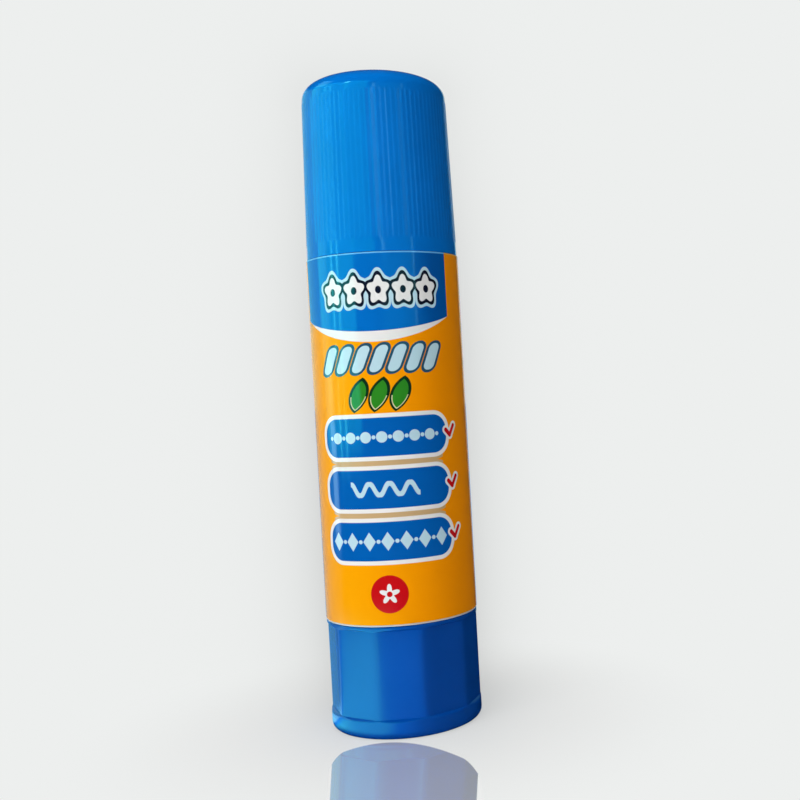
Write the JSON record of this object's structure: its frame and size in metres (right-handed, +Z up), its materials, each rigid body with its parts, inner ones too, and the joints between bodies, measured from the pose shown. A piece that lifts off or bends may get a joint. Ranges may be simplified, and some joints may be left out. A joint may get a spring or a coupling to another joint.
{
  "type": "glue stick",
  "caption": "Twist-up glue stick: round labelled barrel, faceted twist knob, threaded screw and carrier that raise the glue, and a ribbed push-on cap.",
  "frame": {"origin": "centre of the flat face that the knob stands on", "axes": "+Z up along the stick's axis to the cap's crown; -Y is the front, where the middle of the label's print faces; +X is to the right of the front"},
  "size_m": [0.02, 0.02, 0.0869],
  "materials": {
    "barrel_plastic": "moulded white polypropylene, satin gloss",
    "label_film": "glossy film, printed orange with blue and white panels",
    "knob_plastic": "moulded blue polypropylene, gloss",
    "screw_plastic": "moulded white polypropylene",
    "carrier_plastic": "moulded white polypropylene",
    "glue": "waxy off-white glue, slightly translucent",
    "cap_plastic": "moulded blue polypropylene, gloss, fine grip ribs"
  },
  "bodies": {
    "barrel": {"barrel": "barrel_plastic", "label_sleeve": "label_film"},
    "knob": {"knob": "knob_plastic", "screw": "screw_plastic"},
    "carrier": {"carrier": "carrier_plastic", "glue": "glue"},
    "cap": {"cap": "cap_plastic"}
  },
  "joints": [
    {"name": "knob_turn", "type": "hinge", "parent": "barrel", "child": "knob", "pos_m": [0, 0, 0], "axis": [0, 0, 1], "range_deg": [0, 1215]},
    {"name": "carrier_lift", "type": "slide", "parent": "barrel", "child": "carrier", "axis": [0, 0, 1], "range_m": [0, 0.0135]},
    {"name": "cap_pull", "type": "slide", "parent": "barrel", "child": "cap", "axis": [0, 0, 1], "range_m": [0, 0.03]}
  ],
  "couplings": [
    {"joint": "knob_turn", "follows": "carrier_lift", "rad_per_m": 1570.8}
  ]
}
